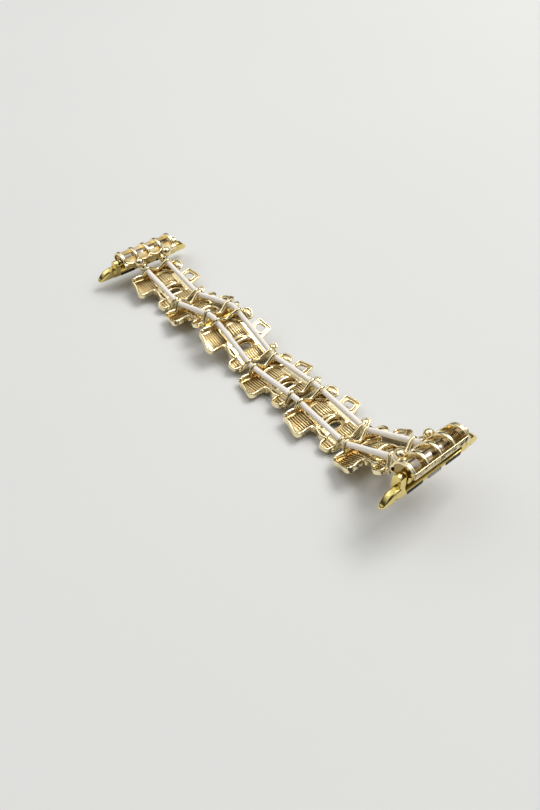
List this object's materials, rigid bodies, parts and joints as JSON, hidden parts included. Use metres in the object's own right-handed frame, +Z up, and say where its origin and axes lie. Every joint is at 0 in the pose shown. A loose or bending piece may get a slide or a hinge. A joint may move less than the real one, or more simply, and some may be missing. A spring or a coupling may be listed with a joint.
{
  "type": "watch strap",
  "caption": "Elastic watch strap of cast metal links strung on a pair of cords, with a hoop barrel and a hinged slide-in lug at each end.",
  "frame": {"origin": "bottom centre of the strap's box as it lies in the picture, in its middle plane", "axes": "+X along the strap from the far end to the near end, +Y across it, +Z up, away from the floor; the links' hollow backs, the skin side, face up"},
  "size_m": [0.0896, 0.024, 0.0146],
  "materials": {
    "link_gold": "polished pale gold plating on a casting",
    "lug_gold": "polished yellow gold plating",
    "tube_metal": "polished grey gold",
    "cord": "white elastic cord, satin",
    "rubber": "black, matt",
    "steel": "plain metal"
  },
  "bodies": {
    "barrel_left": {"barrel_left": "link_gold", "tube_left": "tube_metal", "cord_ends_left": "cord", "crimps_left": "steel"},
    "barrel_right": {"barrel_right": "link_gold", "tube_right": "tube_metal", "cord_ends_right": "cord", "crimps_right": "steel"},
    "link_1": {"link_1": "link_gold", "cord_neck_1": "cord"},
    "cords_1": {"cords_1": "cord"},
    "link_2": {"link_2": "link_gold", "cord_neck_2": "cord"},
    "cords_2": {"cords_2": "cord"},
    "link_3": {"link_3": "link_gold", "cord_neck_3": "cord"},
    "cords_3": {"cords_3": "cord"},
    "link_4": {"link_4": "link_gold", "cord_neck_4": "cord"},
    "cords_4": {"cords_4": "cord"},
    "link_5": {"link_5": "link_gold", "cord_neck_5": "cord"},
    "cords_5": {"cords_5": "cord"},
    "link_6": {"link_6": "link_gold", "cord_neck_6": "cord"},
    "cords_6": {"cords_6": "cord"},
    "lug_left": {"lug_left": "lug_gold", "pin_left": "lug_gold", "pads_left": "rubber", "spring_left": "steel"},
    "button_left": {"button_left": "steel"},
    "lug_right": {"lug_right": "lug_gold", "pin_right": "lug_gold", "pads_right": "rubber", "spring_right": "steel"},
    "button_right": {"button_right": "steel"}
  },
  "joints": [
    {"name": "stretch_3", "type": "slide", "parent": "link_3", "child": "cords_3", "axis": [0.9379, 0, -0.3469], "range_m": [0, 0.0025], "stiffness_N_per_m": 300, "springref_m": -0.001},
    {"name": "bend_3", "type": "hinge", "parent": "cords_3", "child": "link_4", "pos_m": [0.00004, 0, 0.00253], "axis": [0, -1, 0], "range_deg": [-46.9, 14.1]},
    {"name": "stretch_4", "type": "slide", "parent": "link_4", "child": "cords_4", "axis": [0.9952, 0, 0.0976], "range_m": [0, 0.0025], "stiffness_N_per_m": 300, "springref_m": -0.001},
    {"name": "bend_4", "type": "hinge", "parent": "cords_4", "child": "link_5", "pos_m": [0.01333, 0, 0.00384], "axis": [0, -1, 0], "range_deg": [-26.8, 52.2]},
    {"name": "stretch_5", "type": "slide", "parent": "link_5", "child": "cords_5", "axis": [0.9968, 0, -0.0802], "range_m": [0, 0.0025], "stiffness_N_per_m": 300, "springref_m": -0.001},
    {"name": "bend_5", "type": "hinge", "parent": "cords_5", "child": "link_6", "pos_m": [0.02658, 0, 0.00277], "axis": [0, -1, 0], "range_deg": [-53.5, 5.7]},
    {"name": "stretch_6", "type": "slide", "parent": "link_6", "child": "cords_6", "axis": [0.8686, 0, 0.4955], "range_m": [0, 0.0025], "stiffness_N_per_m": 300, "springref_m": -0.001},
    {"name": "bend_6", "type": "hinge", "parent": "cords_6", "child": "barrel_right", "pos_m": [0.03831, 0, 0.00946], "axis": [0, -1, 0], "range_deg": [-47.2, 31.4]},
    {"name": "bend_2", "type": "hinge", "parent": "link_3", "child": "cords_2", "pos_m": [-0.01276, 0, 0.00727], "axis": [0, 1, 0], "range_deg": [-7.1, 81.7]},
    {"name": "stretch_2", "type": "slide", "parent": "cords_2", "child": "link_2", "axis": [-0.9432, 0, -0.3322], "range_m": [0, 0.0025], "stiffness_N_per_m": 300, "springref_m": -0.001},
    {"name": "bend_1", "type": "hinge", "parent": "link_2", "child": "cords_1", "pos_m": [-0.0255, 0, 0.00279], "axis": [0, 1, 0], "range_deg": [-44.6, 6.8]},
    {"name": "stretch_1", "type": "slide", "parent": "cords_1", "child": "link_1", "axis": [-0.9854, 0, 0.1702], "range_m": [0, 0.0025], "stiffness_N_per_m": 300, "springref_m": -0.001},
    {"name": "bend_0", "type": "hinge", "parent": "link_1", "child": "barrel_left", "pos_m": [-0.03806, 0, 0.00496], "axis": [0, 1, 0], "range_deg": [-21.6, 19.4]},
    {"name": "lug_swing_left", "type": "hinge", "parent": "barrel_left", "child": "lug_left", "pos_m": [-0.04224, 0, 0.00572], "axis": [0, 1, 0], "range_deg": [-47, 93]},
    {"name": "button_press_left", "type": "slide", "parent": "lug_left", "child": "button_left", "axis": [0.9767, 0, -0.2147], "range_m": [0, 0.0003], "stiffness_N_per_m": 150, "springref_m": -0.0003, "deforming": ["spring_left"]},
    {"name": "lug_swing_right", "type": "hinge", "parent": "barrel_right", "child": "lug_right", "pos_m": [0.04241, 0, 0.01215], "axis": [0, -1, 0], "range_deg": [-11.7, 128.3]},
    {"name": "button_press_right", "type": "slide", "parent": "lug_right", "child": "button_right", "axis": [-1, 0, 0], "range_m": [0, 0.0003], "stiffness_N_per_m": 150, "springref_m": -0.0003, "deforming": ["spring_right"]}
  ]
}
